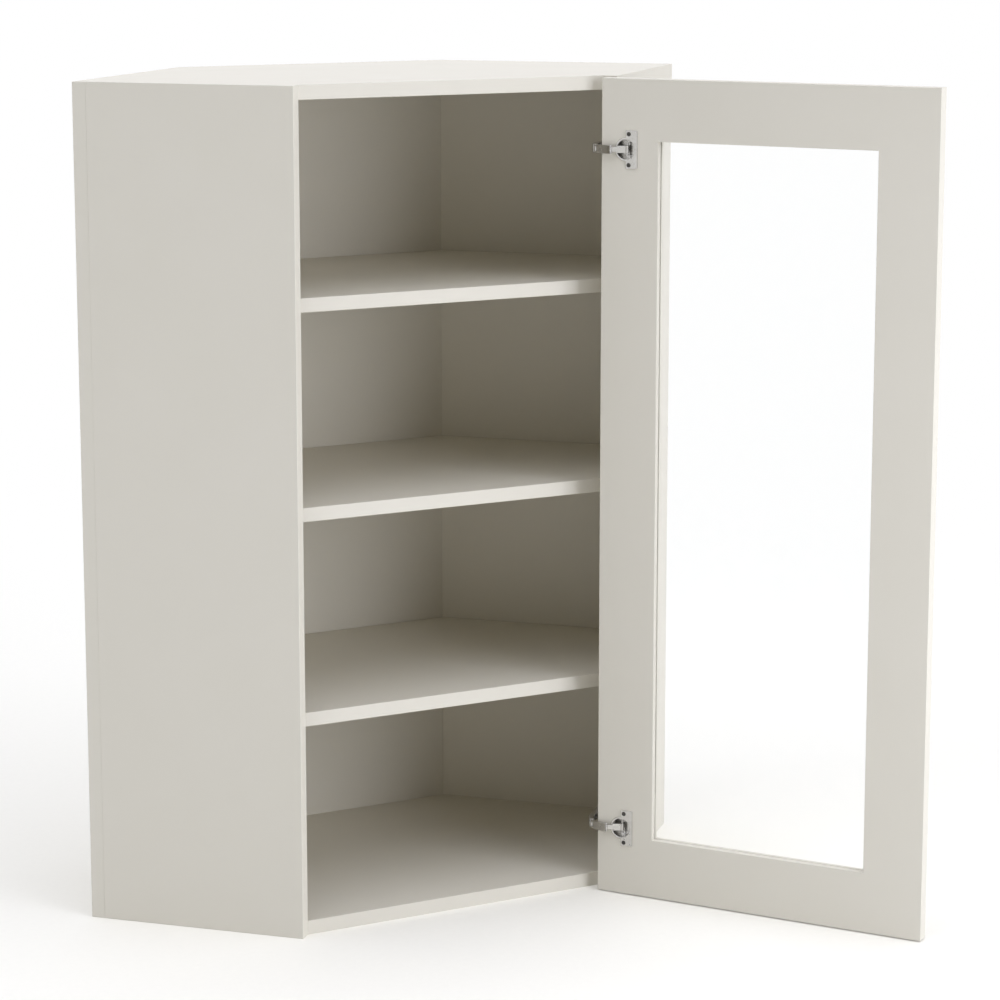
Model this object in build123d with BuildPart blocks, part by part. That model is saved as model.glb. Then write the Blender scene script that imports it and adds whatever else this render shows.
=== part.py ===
"""Diagonal corner wall cabinet with one framed glass door on two concealed folding-lever hinges.

Millimetres, +Z up. The origin is the centre of the carcass underside. The doorway faces -Y,
and the two walls of the room meet behind the cabinet, on the +Y side of the plane X = 0.
The door stands open, as in its rest position.
"""

import os
from math import atan2, cos, hypot, radians, sin, sqrt

from build123d import *

os.makedirs("parts", exist_ok=True)

# ---------------------------------------------------------------- driving dimensions
# carcass
carcass_height = 1066.8
wall_run = 605.0            # along each wall, from the room corner to the outside of an end panel
end_depth = 289.0           # from a wall to the front edge of its end panel
back_cut = 274.0            # along each wall, from the room corner to the back panel
end_board = 18.0
wall_board = 18.0
back_board = 18.0
deck_board = 18.0           # top and bottom panels
shelf_board = 18.0
shelf_names = ["lower_shelf", "middle_shelf", "upper_shelf"]
shelf_setback = 28.0        # behind the front edge of the top and bottom panels
shelf_fit = 1.0             # gap between a shelf and the boards round it

# stopped tongues between the boards
tongue_thickness = 6.0
tongue_length = 8.0
tongue_gap = 0.5            # glue space at the bottom and the ends of each groove
tongue_inset = 20.0         # from the ends of a joint to the ends of its tongue

# shelf pins
pin_diameter = 5.0
pin_in_board = 9.0
pin_under_shelf = 8.0
pin_end_gap = 1.0           # at the bottom of each pin hole
pin_inset = 60.0            # from the front edge of an end panel

# door
door_board = 18.0
door_gap = 1.5              # between the closed door and the end panels
door_reveal = 1.5           # the door stops short of the carcass, top and bottom
stile_width = 78.0
rail_width = 78.0
groove_width = 4.4
groove_depth = 10.0
groove_from_back = 8.6
tenon_gap = 0.5
glass_thickness = 4.0
glass_edge_gap = 1.0        # beside and above the pane, which stands on the bottom rail
open_angle = 125.0

# hinges
hinge_inset = 89.0          # from the top and bottom of the door to the middle of a hinge
pivot_inset = 11.4          # the door turns about a line this far from its hinge edge,
pivot_depth = 9.5           # and this deep in its thickness
cup_inset = 34.0            # from the hinge edge to the middle of the cup
cup_diameter = 27.0
cup_wall = 0.9
cup_depth = 10.0
bore_gap = 0.5              # under the floor of the cup
flange_thickness = 1.4
flange_radius = 14.5
flange_width = 16.0
flange_height = 48.0
flange_corner = 2.0
cup_screw_pitch = 39.0
cup_screw_inset = 4.0       # from the middle of the cup, away from the hinge edge
hinge_pin_diameter = 2.0
running_gap = 0.08          # round a hinge pin that turns in an eye
eye_radius = 2.3
cup_pin_depth = 3.4         # from the back of the door
arm_pin_inset = 30.4        # from the hinge edge of the closed door
arm_pin_stand = 0.5         # behind the back of the closed door
eye_height = 6.0
cheek_thickness = 2.0
cheek_gap = 0.2
outer_lever_thickness = 1.8
blade_height = 9.0          # of the outer lever, clear of the cheeks of the inner lever
blade_start = 8.6           # from the knuckle pin, so that the closed levers pass each other
lever_web = 1.4
lever_web_gap = 0.4         # between the web of the inner lever and the eyes that turn in it
lever_web_start = 4.0       # from the arm pin
lever_waist = 0.8           # cheek beside the pin line, on the side of the door

# hinge arm and mounting plate
arm_depth = 6.0
arm_wall = 1.2
arm_side_gap = 0.15
arm_stand = 9.0             # from the end panel to the middle of the arm
arm_lead = 6.0              # how far the arm runs past the front edge of the end panel
arm_shoulder = 4.0          # from the arm pin to the full height of the arm
arm_end = 58.0              # from the front edge of the end panel to the tail of the arm
plate_front = 22.0
plate_length = 30.0
plate_height = 50.0
plate_thickness = 2.0
ridge_front = 27.0
plate_screw_pitch = 32.0
plate_screw_inset = 37.0    # from the front edge of the end panel
fixing_screw_inset = 48.0
side_screw_inset = 31.0
machine_screw_diameter = 4.0
machine_head_diameter = 6.4
machine_head_height = 2.0

# wood screws
screw_diameter = 2.8
screw_length = 13.0
screw_head_diameter = 5.6

# ---------------------------------------------------------------- derived sizes
slant = sqrt(0.5)           # the walls stand at 45 degrees to the doorway
front_span = (wall_run - end_depth) / slant
carcass_depth = (wall_run + end_depth - back_cut) * slant
front_y = -carcass_depth / 2
room_corner_y = front_y + (wall_run + end_depth) * slant
inside_run = wall_run - end_board
inside_cut = back_cut + back_board / slant - wall_board

TO_LEFT_END = (-slant, -slant)
TO_LEFT_WALL = (-slant, slant)
TO_BACK = (0.0, 1.0)
TO_RIGHT_WALL = (slant, slant)
TO_RIGHT_END = (slant, -slant)

clear_height = carcass_height - 2 * deck_board
bay_height = (clear_height - len(shelf_names) * shelf_board) / (len(shelf_names) + 1)
shelf_heights = [
    deck_board + bay_height + i * (bay_height + shelf_board) for i in range(len(shelf_names))
]


def plan(from_right_wall, from_left_wall):
    """Point on the floor plan, from its distances to the two walls of the room."""
    x = (from_left_wall - from_right_wall) * slant
    y = room_corner_y - (from_left_wall + from_right_wall) * slant
    return (x, y)


def mirrored(points):
    """The same outline on the other side of the plane X = 0."""
    return [(-x, y) for x, y in reversed(points)]


def facing(point, direction, height):
    """Plane at a point of the floor plan that looks along a level direction."""
    return Plane(origin=(*point, height), x_dir=(0, 0, 1), z_dir=(*direction, 0))


def drill(planes, diameter, depth):
    """Cuts a blind hole along each plane's own Z from that plane."""
    with Locations(*[p.location for p in planes]):
        Cylinder(
            diameter / 2, depth, align=(Align.CENTER, Align.CENTER, Align.MIN), mode=Mode.SUBTRACT
        )


def turned_back(planes):
    """The same places, looking the other way."""
    return [Plane(origin=p.origin, x_dir=p.x_dir, z_dir=-p.z_dir) for p in planes]


# ---------------------------------------------------------------- joints of the carcass
left_end_line = (plan(inside_run, end_depth), plan(inside_run, wall_board))
left_wall_line = (plan(inside_run, wall_board), plan(inside_cut, wall_board))
back_line = (plan(inside_cut, wall_board), plan(wall_board, inside_cut))
right_wall_line = (plan(wall_board, inside_cut), plan(wall_board, inside_run))
right_end_line = (plan(wall_board, inside_run), plan(end_depth, inside_run))

deck_joints = {
    "left_end": (left_end_line, TO_LEFT_END),
    "left_wall": (left_wall_line, TO_LEFT_WALL),
    "back": (back_line, TO_BACK),
    "right_wall": (right_wall_line, TO_RIGHT_WALL),
    "right_end": (right_end_line, TO_RIGHT_END),
}
deck_heights = (deck_board / 2, carcass_height - deck_board / 2)

left_upright_point = plan(wall_run - end_board / 2, wall_board)
right_upright_point = plan(wall_board, wall_run - end_board / 2)


def tongued(point, direction, height, width, rise, gap=0.0, mode=Mode.ADD):
    """Adds a tongue that looks along a level direction, or cuts its groove."""
    x, y = direction
    place = Plane(origin=(*point, height), x_dir=(y, -x, 0), z_dir=(0, 0, 1))
    grown = 2 * gap
    across = width + (grown if width > rise else 0)
    up = rise + (grown if rise > width else 0)
    with Locations(place.location):
        Box(across, tongue_length + gap, up, align=(Align.CENTER, Align.MIN, Align.CENTER), mode=mode)


def deck_tongue(side, height, **how):
    """The tongue on one side of the top or bottom panel, or its groove."""
    (start, end), direction = deck_joints[side]
    middle = ((start[0] + end[0]) / 2, (start[1] + end[1]) / 2)
    width = hypot(end[0] - start[0], end[1] - start[1]) - 2 * tongue_inset
    tongued(middle, direction, height, width, tongue_thickness, **how)


def upright_tongue(point, direction, **how):
    """The tongue along the rear edge of an end panel, or its groove."""
    rise = carcass_height - 2 * tongue_inset
    tongued(point, direction, carcass_height / 2, tongue_thickness, rise, **how)


groove = {"gap": tongue_gap, "mode": Mode.SUBTRACT}

# ---------------------------------------------------------------- shelf pins
left_pin_points = [
    (plan(inside_run, end_depth - pin_inset), TO_LEFT_END),
    (plan((inside_run + inside_cut) / 2, wall_board), TO_LEFT_WALL),
]
back_pin_points = [(plan((inside_cut + wall_board) / 2, (inside_cut + wall_board) / 2), TO_BACK)]
right_pin_points = [
    (plan(wall_board, (inside_run + inside_cut) / 2), TO_RIGHT_WALL),
    (plan(end_depth - pin_inset, inside_run), TO_RIGHT_END),
]


def pin_planes(points):
    """Where the pins of all the shelves enter the boards."""
    return [
        facing(point, direction, height - pin_diameter / 2)
        for height in shelf_heights
        for point, direction in points
    ]


# ---------------------------------------------------------------- hinge geometry
door_width = front_span
door_height = carcass_height - 2 * door_reveal
door_closed_y = front_y - door_gap
pivot = (front_span / 2 - pivot_inset, door_closed_y - pivot_depth)
hinge_heights = {
    "lower": door_reveal + hinge_inset,
    "upper": door_reveal + door_height - hinge_inset,
}


def closed_point(inset, depth):
    """Floor plan point of the closed door, from its hinge edge and into it from its back."""
    return (front_span / 2 - inset, door_closed_y - depth)


def swung(point):
    """A point of the closed door after the door has opened about the pivot line."""
    turn = radians(open_angle)
    dx, dy = point[0] - pivot[0], point[1] - pivot[1]
    return (
        pivot[0] + dx * cos(turn) - dy * sin(turn),
        pivot[1] + dx * sin(turn) + dy * cos(turn),
    )


door_corner = swung(closed_point(0, 0))
door_along = (-cos(radians(open_angle)), -sin(radians(open_angle)), 0)
door_out = (-sin(radians(open_angle)), cos(radians(open_angle)), 0)
door_back = Plane(origin=(*door_corner, door_reveal), x_dir=door_along, z_dir=door_out)

# The levers and the line from the pivot to their pins make a parallelogram, so the door
# turns exactly about the pivot line, which lies inside its own thickness.
arm_pin = closed_point(arm_pin_inset, -arm_pin_stand)
cup_pin = swung(closed_point(cup_inset, cup_pin_depth))
knuckle_pin = (cup_pin[0] + arm_pin[0] - pivot[0], cup_pin[1] + arm_pin[1] - pivot[1])
inner_lever_length = hypot(knuckle_pin[0] - arm_pin[0], knuckle_pin[1] - arm_pin[1])
outer_lever_length = hypot(knuckle_pin[0] - cup_pin[0], knuckle_pin[1] - cup_pin[1])

front_corner = plan(end_depth, inside_run)      # inner front corner of the right end panel
lever_height = eye_height + 2 * (cheek_gap + cheek_thickness)
arm_height = lever_height


def beside_panel(along, off):
    """Floor plan point from the right end panel's front edge inwards, and off its inner face."""
    x = front_corner[0] + (along - off) * slant
    y = front_corner[1] + (along + off) * slant
    return (x, y)


def lying(point, towards, height):
    """Level plane at a point of the floor plan with its X towards another point."""
    return Plane(
        origin=(*point, height),
        x_dir=(towards[0] - point[0], towards[1] - point[1], 0),
        z_dir=(0, 0, 1),
    )


def strip(points, left, right):
    """Outline of a bent strip that follows the points, with mitred bends."""
    sides = [], []
    for i, point in enumerate(points):
        before = points[max(i - 1, 0)]
        after = points[min(i + 1, len(points) - 1)]
        inward = atan2(point[1] - before[1], point[0] - before[0]) if i else None
        outward = (
            atan2(after[1] - point[1], after[0] - point[0]) if i < len(points) - 1 else inward
        )
        inward = outward if inward is None else inward
        middle = (inward + outward) / 2
        stretch = cos((outward - inward) / 2)
        for side, offset in zip(sides, (left, -right)):
            side.append(
                (
                    point[0] - sin(middle) * offset / stretch,
                    point[1] + cos(middle) * offset / stretch,
                )
            )
    return sides[0] + sides[1][::-1]


def cup_screw_places(height):
    """Where the screws of a cup enter the door, on its back plane."""
    inset = cup_inset + cup_screw_inset
    h = height - door_reveal
    return [(inset, h - cup_screw_pitch / 2), (inset, h + cup_screw_pitch / 2)]


def plate_screw_planes(height, off):
    """Where the screws of a mounting plate stand, looking into the right end panel."""
    point = beside_panel(plate_screw_inset, off)
    return [
        facing(point, TO_RIGHT_END, height + side * plate_screw_pitch / 2) for side in (-1, 1)
    ]


# ---------------------------------------------------------------- carcass boards
left_end_outline = [
    plan(wall_run, wall_board),
    plan(wall_run, end_depth),
    plan(inside_run, end_depth),
    plan(inside_run, wall_board),
]
left_wall_outline = [
    plan(wall_run, 0),
    plan(wall_run, wall_board),
    plan(inside_cut, wall_board),
    plan(back_cut, 0),
]
deck_outline = [
    *left_end_line,
    *back_line,
    *right_end_line,
]

with BuildPart() as left_end_panel:
    with BuildSketch():
        Polygon(*left_end_outline, align=None)
    extrude(amount=carcass_height)
    upright_tongue(left_upright_point, TO_LEFT_WALL)
    for deck_height in deck_heights:
        deck_tongue("left_end", deck_height, **groove)
    drill(pin_planes(left_pin_points[:1]), pin_diameter, pin_in_board + pin_end_gap)
left_end_panel.part.label = "left_end_panel"

with BuildPart() as right_end_panel:
    with BuildSketch():
        Polygon(*mirrored(left_end_outline), align=None)
    extrude(amount=carcass_height)
    upright_tongue(right_upright_point, TO_RIGHT_WALL)
    for deck_height in deck_heights:
        deck_tongue("right_end", deck_height, **groove)
    drill(pin_planes(right_pin_points[1:]), pin_diameter, pin_in_board + pin_end_gap)
    for hinge_height in hinge_heights.values():
        drill(plate_screw_planes(hinge_height, 0), screw_diameter, screw_length)
right_end_panel.part.label = "right_end_panel"

with BuildPart() as left_wall_panel:
    with BuildSketch():
        Polygon(*left_wall_outline, align=None)
    extrude(amount=carcass_height)
    upright_tongue(left_upright_point, TO_LEFT_WALL, **groove)
    for deck_height in deck_heights:
        deck_tongue("left_wall", deck_height, **groove)
    drill(pin_planes(left_pin_points[1:]), pin_diameter, pin_in_board + pin_end_gap)
left_wall_panel.part.label = "left_wall_panel"

with BuildPart() as right_wall_panel:
    with BuildSketch():
        Polygon(*mirrored(left_wall_outline), align=None)
    extrude(amount=carcass_height)
    upright_tongue(right_upright_point, TO_RIGHT_WALL, **groove)
    for deck_height in deck_heights:
        deck_tongue("right_wall", deck_height, **groove)
    drill(pin_planes(right_pin_points[:1]), pin_diameter, pin_in_board + pin_end_gap)
right_wall_panel.part.label = "right_wall_panel"

with BuildPart() as back_panel:
    with BuildSketch():
        Polygon(*[plan(back_cut, 0), *back_line, plan(0, back_cut)], align=None)
    extrude(amount=carcass_height)
    for deck_height in deck_heights:
        deck_tongue("back", deck_height, **groove)
    drill(pin_planes(back_pin_points), pin_diameter, pin_in_board + pin_end_gap)
back_panel.part.label = "back_panel"

with BuildPart() as bottom_panel:
    with BuildSketch():
        Polygon(*deck_outline, align=None)
    extrude(amount=deck_board)
    for deck_side in deck_joints:
        deck_tongue(deck_side, deck_heights[0])
bottom_panel.part.label = "bottom_panel"

with BuildPart() as top_panel:
    with BuildSketch(Plane.XY.offset(carcass_height - deck_board)):
        Polygon(*deck_outline, align=None)
    extrude(amount=deck_board)
    for deck_side in deck_joints:
        deck_tongue(deck_side, deck_heights[1])
top_panel.part.label = "top_panel"

# ---------------------------------------------------------------- shelves
shelf_run = inside_run - shelf_fit
shelf_wall = wall_board + shelf_fit
shelf_cut = inside_cut + shelf_fit * (sqrt(2) - 1)
shelf_front = inside_run + end_depth - shelf_setback / slant - shelf_run
shelf_outline = [
    plan(shelf_run, shelf_front),
    plan(shelf_run, shelf_wall),
    plan(shelf_cut, shelf_wall),
    plan(shelf_wall, shelf_cut),
    plan(shelf_wall, shelf_run),
    plan(shelf_front, shelf_run),
]


def make_shelf(height):
    """One loose shelf, lying on its pins."""
    with BuildPart() as shelf:
        with BuildSketch(Plane.XY.offset(height)):
            Polygon(*shelf_outline, align=None)
        extrude(amount=shelf_board)
    return shelf.part


shelves = {}
for shelf_name, shelf_height in zip(shelf_names, shelf_heights):
    shelves[shelf_name] = make_shelf(shelf_height)
    shelves[shelf_name].label = shelf_name

# ---------------------------------------------------------------- shelf pins
with BuildPart() as shelf_pins:
    with Locations(
        *[p.location for p in pin_planes(left_pin_points + back_pin_points + right_pin_points)]
    ):
        Cylinder(pin_diameter / 2, pin_in_board, align=(Align.CENTER, Align.CENTER, Align.MIN))
        Cylinder(pin_diameter / 2, pin_under_shelf, align=(Align.CENTER, Align.CENTER, Align.MAX))
shelf_pins.part.label = "shelf_pins"

# ---------------------------------------------------------------- door frame and glass
opening_width = door_width - 2 * stile_width
opening_height = door_height - 2 * rail_width
tenon_length = groove_depth - tenon_gap
tenon_width = rail_width - groove_depth
groove_middle = -(groove_from_back + groove_width / 2)
groove_plane = door_back.offset(-groove_from_back)


def place_on_door(point, stand):
    """Location on the back of the door, standing out from it."""
    return door_back.offset(stand).location * Location((*point, 0))


def drill_door(places, diameter, depth):
    """Blind holes into the back of the door."""
    with Locations(*[place_on_door(p, 0) for p in places]):
        Cylinder(
            diameter / 2, depth, align=(Align.CENTER, Align.CENTER, Align.MAX), mode=Mode.SUBTRACT
        )


def make_stile(left, groove_side):
    """Upright of the door frame, with the groove along its inner edge."""
    with BuildPart() as stile:
        with BuildSketch(door_back):
            with Locations((left, 0)):
                Rectangle(stile_width, door_height, align=(Align.MIN, Align.MIN))
        extrude(amount=-door_board)
        with BuildSketch(groove_plane):
            with Locations((groove_side, 0)):
                Rectangle(groove_depth, door_height, align=(Align.MIN, Align.MIN))
        extrude(amount=-groove_width, mode=Mode.SUBTRACT)
    return stile.part


def make_rail(foot, groove_foot, tenon_foot):
    """Cross piece of the door frame, with a stub tenon at each end and a groove."""
    with BuildPart() as rail:
        with BuildSketch(door_back):
            with Locations((stile_width, foot)):
                Rectangle(opening_width, rail_width, align=(Align.MIN, Align.MIN))
        extrude(amount=-door_board)
        with BuildSketch(groove_plane):
            with Locations((stile_width - tenon_length, tenon_foot)):
                Rectangle(
                    opening_width + 2 * tenon_length, tenon_width, align=(Align.MIN, Align.MIN)
                )
        extrude(amount=-groove_width)
        with BuildSketch(groove_plane):
            with Locations((stile_width, groove_foot)):
                Rectangle(opening_width, groove_depth, align=(Align.MIN, Align.MIN))
        extrude(amount=-groove_width, mode=Mode.SUBTRACT)
    return rail.part


with BuildPart() as hinge_stile:
    add(make_stile(0, stile_width - groove_depth))
    for hinge_height in hinge_heights.values():
        drill_door([(cup_inset, hinge_height - door_reveal)], cup_diameter, cup_depth + bore_gap)
        drill_door(
            cup_screw_places(hinge_height), screw_diameter, screw_length - flange_thickness
        )
hinge_stile.part.label = "hinge_stile"

free_stile = make_stile(door_width - stile_width, door_width - stile_width)
free_stile.label = "free_stile"

bottom_rail = make_rail(0, rail_width - groove_depth, 0)
bottom_rail.label = "bottom_rail"

top_rail_foot = door_height - rail_width
top_rail = make_rail(top_rail_foot, top_rail_foot, top_rail_foot + groove_depth)
top_rail.label = "top_rail"

with BuildPart() as glass_pane:
    with BuildSketch(door_back.offset(groove_middle + glass_thickness / 2)):
        with Locations((stile_width - groove_depth + glass_edge_gap, rail_width - groove_depth)):
            Rectangle(
                opening_width + 2 * (groove_depth - glass_edge_gap),
                opening_height + 2 * groove_depth - glass_edge_gap,
                align=(Align.MIN, Align.MIN),
            )
    extrude(amount=-glass_thickness)
glass_pane.part.label = "glass_pane"


# ---------------------------------------------------------------- wood screw
def wood_screw():
    """Countersunk screw, its head uppermost at the origin."""
    head_radius = screw_head_diameter / 2
    shank_radius = screw_diameter / 2
    cone = head_radius - shank_radius
    tip = 2 * shank_radius
    with BuildPart() as screw:
        with BuildSketch(Plane.XZ):
            with BuildLine():
                Polyline(
                    (0, 0),
                    (head_radius, 0),
                    (shank_radius, -cone),
                    (shank_radius, -screw_length + tip),
                    (0, -screw_length),
                    close=True,
                )
            make_face()
        revolve(axis=Axis.Z)
    return screw.part


screw_shape = wood_screw()
head_sink = (screw_head_diameter - screw_diameter) / 2


# ---------------------------------------------------------------- hinge pieces on the door
def make_cup(height):
    """Pressed cup with its fixing flange, let into the hinge stile."""
    middle = (cup_inset, height - door_reveal)
    cup_radius = cup_diameter / 2
    with BuildPart() as cup:
        with BuildSketch(door_back):
            with Locations(middle):
                Circle(flange_radius)
            with Locations((cup_inset, middle[1])):
                Rectangle(flange_width, flange_height, align=(Align.MIN, Align.CENTER))
        extrude(amount=flange_thickness)
        plate_corners = cup.edges().filter_by(Axis(door_back.origin, door_out)).sort_by(
            Axis(door_back.origin, door_along)
        )
        fillet(plate_corners[-2:], flange_corner)
        with BuildSketch(door_back.offset(-cup_depth)):
            with Locations(middle):
                Circle(cup_radius)
        extrude(amount=cup_depth)
        with BuildSketch(door_back.offset(-cup_depth + cup_wall)):
            with Locations(middle):
                Circle(cup_radius - cup_wall)
        extrude(amount=cup_depth + flange_thickness, mode=Mode.SUBTRACT)
        with Locations(Location((*cup_pin, height))):
            Cylinder(hinge_pin_diameter / 2, cup_diameter, mode=Mode.SUBTRACT)
        with Locations(*[place_on_door(p, flange_thickness) for p in cup_screw_places(height)]):
            Cone(
                screw_diameter / 2,
                screw_head_diameter / 2,
                head_sink,
                align=(Align.CENTER, Align.CENTER, Align.MAX),
                mode=Mode.SUBTRACT,
            )
    return cup.part


def make_cup_screws(height):
    """The two screws that hold a cup to the door."""
    with BuildPart() as screws:
        with Locations(*[place_on_door(p, flange_thickness) for p in cup_screw_places(height)]):
            add(screw_shape)
    return screws.part


def make_pin(point, height, length):
    """Riveted hinge pin, upright at a point of the floor plan."""
    with BuildPart() as pin:
        with Locations(Location((*point, height))):
            Cylinder(hinge_pin_diameter / 2, length)
    return pin.part


# ---------------------------------------------------------------- levers
def make_outer_lever(height):
    """Flat lever from the cup to the knuckle, as wide as the cup lets it be, with two eyes."""
    ends = [(0, 0), (outer_lever_length, 0)]
    with BuildPart() as lever:
        with BuildSketch(lying(cup_pin, knuckle_pin, height - eye_height / 2)):
            with Locations(*ends):
                Circle(eye_radius)
            with Locations((outer_lever_length / 2, 0)):
                Rectangle(outer_lever_length, outer_lever_thickness)
            with Locations(*ends):
                Circle(hinge_pin_diameter / 2 + running_gap, mode=Mode.SUBTRACT)
        extrude(amount=eye_height)
        with BuildSketch(lying(cup_pin, knuckle_pin, height - blade_height / 2)):
            Circle(eye_radius)
            Rectangle(
                outer_lever_length - blade_start,
                outer_lever_thickness,
                align=(Align.MIN, Align.CENTER),
            )
            Circle(hinge_pin_diameter / 2 + running_gap, mode=Mode.SUBTRACT)
        extrude(amount=blade_height)
    return lever.part


def make_inner_lever(height):
    """Channel-shaped lever between the arm and the knuckle, its web towards the room."""
    web_near = eye_radius + lever_web_gap
    web_far = web_near + lever_web
    ends = [(0, 0), (inner_lever_length, 0)]
    with BuildPart() as lever:
        for foot in (-lever_height / 2, lever_height / 2 - cheek_thickness):
            with BuildSketch(lying(arm_pin, knuckle_pin, height + foot)):
                with Locations(*ends):
                    Circle(eye_radius)
                Polygon(
                    *[
                        (0, lever_waist),
                        (inner_lever_length, lever_waist),
                        (inner_lever_length + eye_radius, -eye_radius),
                        (inner_lever_length + eye_radius, -web_far),
                        (lever_web_start, -web_far),
                        (0, -eye_radius),
                    ],
                    align=None,
                )
                with Locations(*ends):
                    Circle(hinge_pin_diameter / 2, mode=Mode.SUBTRACT)
            extrude(amount=cheek_thickness)
        with BuildSketch(lying(arm_pin, knuckle_pin, height - lever_height / 2)):
            Polygon(
                *[
                    (lever_web_start, -web_far),
                    (inner_lever_length + eye_radius, -web_far),
                    (inner_lever_length + eye_radius, -web_near),
                    (lever_web_start, -web_near),
                ],
                align=None,
            )
        extrude(amount=lever_height)
    return lever.part


# ---------------------------------------------------------------- arm and mounting plate
arm_bend = beside_panel(-arm_lead, arm_stand)
arm_tail = beside_panel(arm_end, arm_stand)
neck_length = hypot(arm_bend[0] - arm_pin[0], arm_bend[1] - arm_pin[1])


def along_neck(distance):
    """Floor plan point on the neck of the arm, from the arm pin."""
    f = distance / neck_length
    return (
        arm_pin[0] + f * (arm_bend[0] - arm_pin[0]),
        arm_pin[1] + f * (arm_bend[1] - arm_pin[1]),
    )


def arm_screw_plane(inset, off):
    """Where a machine screw stands on the arm, looking into the right end panel."""
    return lambda height: facing(beside_panel(inset, off), TO_RIGHT_END, height)


arm_top = arm_stand + arm_depth / 2
ridge_top = arm_top - arm_wall
fixing_screw_place = arm_screw_plane(fixing_screw_inset, arm_top)
side_screw_place = arm_screw_plane(side_screw_inset, arm_top)


def make_arm(height):
    """Channel-shaped arm, bent round the front edge of the end panel to the door."""
    route = [along_neck(arm_shoulder), arm_bend, arm_tail]
    hollow_route = [along_neck(arm_shoulder + arm_wall), arm_bend, arm_tail]
    hollow_height = arm_height - 2 * arm_wall
    with BuildPart() as arm:
        with BuildSketch(Plane.XY.offset(height - arm_height / 2)):
            Polygon(*strip(route, arm_depth / 2, arm_depth / 2), align=None)
        extrude(amount=arm_height)
        with BuildSketch(Plane.XY.offset(height - hollow_height / 2)):
            Polygon(*strip(hollow_route, arm_depth / 2 - arm_wall, arm_depth), align=None)
        extrude(amount=hollow_height, mode=Mode.SUBTRACT)
        with BuildSketch(lying(arm_pin, arm_bend, height - eye_height / 2)):
            Circle(eye_radius)
            Rectangle(
                arm_shoulder + arm_wall, 2 * eye_radius, align=(Align.MIN, Align.CENTER)
            )
            Circle(hinge_pin_diameter / 2 + running_gap, mode=Mode.SUBTRACT)
        extrude(amount=eye_height)
        for place in (fixing_screw_place, side_screw_place):
            with Locations(place(height).location):
                Cylinder(machine_screw_diameter / 2, 3 * arm_wall, mode=Mode.SUBTRACT)
    return arm.part


def make_mounting_plate(height):
    """Plate on the inside of the end panel, with the ridge that the arm slides over."""
    base = facing(beside_panel(plate_front, 0), TO_LEFT_WALL, height)
    ridge_height = arm_height - 2 * arm_wall - 2 * arm_side_gap
    with BuildPart() as plate:
        with BuildSketch(base):
            Rectangle(plate_height, plate_length, align=(Align.CENTER, Align.MIN))
        extrude(amount=plate_thickness)
        with BuildSketch(facing(beside_panel(ridge_front, 0), TO_LEFT_WALL, height)):
            Rectangle(
                ridge_height,
                plate_front + plate_length - ridge_front,
                align=(Align.CENTER, Align.MIN),
            )
        extrude(amount=ridge_top)
        for place in (fixing_screw_place, side_screw_place):
            with Locations(place(height).location):
                Cylinder(machine_screw_diameter / 2, 2 * arm_top, mode=Mode.SUBTRACT)
        with Locations(*[p.location for p in plate_screw_planes(height, plate_thickness)]):
            Cone(
                screw_head_diameter / 2,
                screw_diameter / 2,
                head_sink,
                align=(Align.CENTER, Align.CENTER, Align.MIN),
                mode=Mode.SUBTRACT,
            )
            Cylinder(screw_diameter / 2, 2 * plate_thickness, mode=Mode.SUBTRACT)
    return plate.part


def make_plate_screws(height):
    """The two wood screws that hold a mounting plate."""
    with BuildPart() as screws:
        with Locations(
            *[p.location for p in turned_back(plate_screw_planes(height, plate_thickness))]
        ):
            add(screw_shape)
    return screws.part


def make_arm_screws(height):
    """The fixing screw and the side adjusting screw of an arm."""
    shank = arm_wall + (ridge_top - plate_thickness) / 2
    with BuildPart() as screws:
        with Locations(
            *[p.location for p in turned_back([fixing_screw_place(height), side_screw_place(height)])]
        ):
            Cylinder(
                machine_head_diameter / 2,
                machine_head_height,
                align=(Align.CENTER, Align.CENTER, Align.MIN),
            )
            Cylinder(
                machine_screw_diameter / 2, shank, align=(Align.CENTER, Align.CENTER, Align.MAX)
            )
    return screws.part


hinge_pieces = {}
for hinge_name, hinge_height in hinge_heights.items():
    hinge_pieces[f"{hinge_name}_hinge_cup"] = make_cup(hinge_height)
    hinge_pieces[f"{hinge_name}_cup_screws"] = make_cup_screws(hinge_height)
    hinge_pieces[f"{hinge_name}_cup_pin"] = make_pin(
        cup_pin, hinge_height, cup_diameter - cup_wall
    )
    hinge_pieces[f"{hinge_name}_outer_lever"] = make_outer_lever(hinge_height)
    hinge_pieces[f"{hinge_name}_knuckle_pin"] = make_pin(knuckle_pin, hinge_height, lever_height)
    hinge_pieces[f"{hinge_name}_inner_lever"] = make_inner_lever(hinge_height)
    hinge_pieces[f"{hinge_name}_arm_pin"] = make_pin(arm_pin, hinge_height, lever_height)
    hinge_pieces[f"{hinge_name}_hinge_arm"] = make_arm(hinge_height)
    hinge_pieces[f"{hinge_name}_mounting_plate"] = make_mounting_plate(hinge_height)
    hinge_pieces[f"{hinge_name}_plate_screws"] = make_plate_screws(hinge_height)
    hinge_pieces[f"{hinge_name}_arm_screws"] = make_arm_screws(hinge_height)

# ---------------------------------------------------------------- export
built_blocks = (
    left_end_panel,
    right_end_panel,
    left_wall_panel,
    right_wall_panel,
    back_panel,
    bottom_panel,
    top_panel,
    shelf_pins,
    hinge_stile,
    glass_pane,
)
for block in built_blocks:
    export_step(block.part, f"parts/{block.part.label}.step")
for piece in (free_stile, bottom_rail, top_rail, *shelves.values()):
    export_step(piece, f"parts/{piece.label}.step")
for piece_name, piece in hinge_pieces.items():
    piece.label = piece_name
    export_step(piece, f"parts/{piece_name}.step")
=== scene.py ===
"""Dressed view of a diagonal corner wall cabinet whose framed glass door stands open."""

from math import cos, pi, radians, sin

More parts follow.
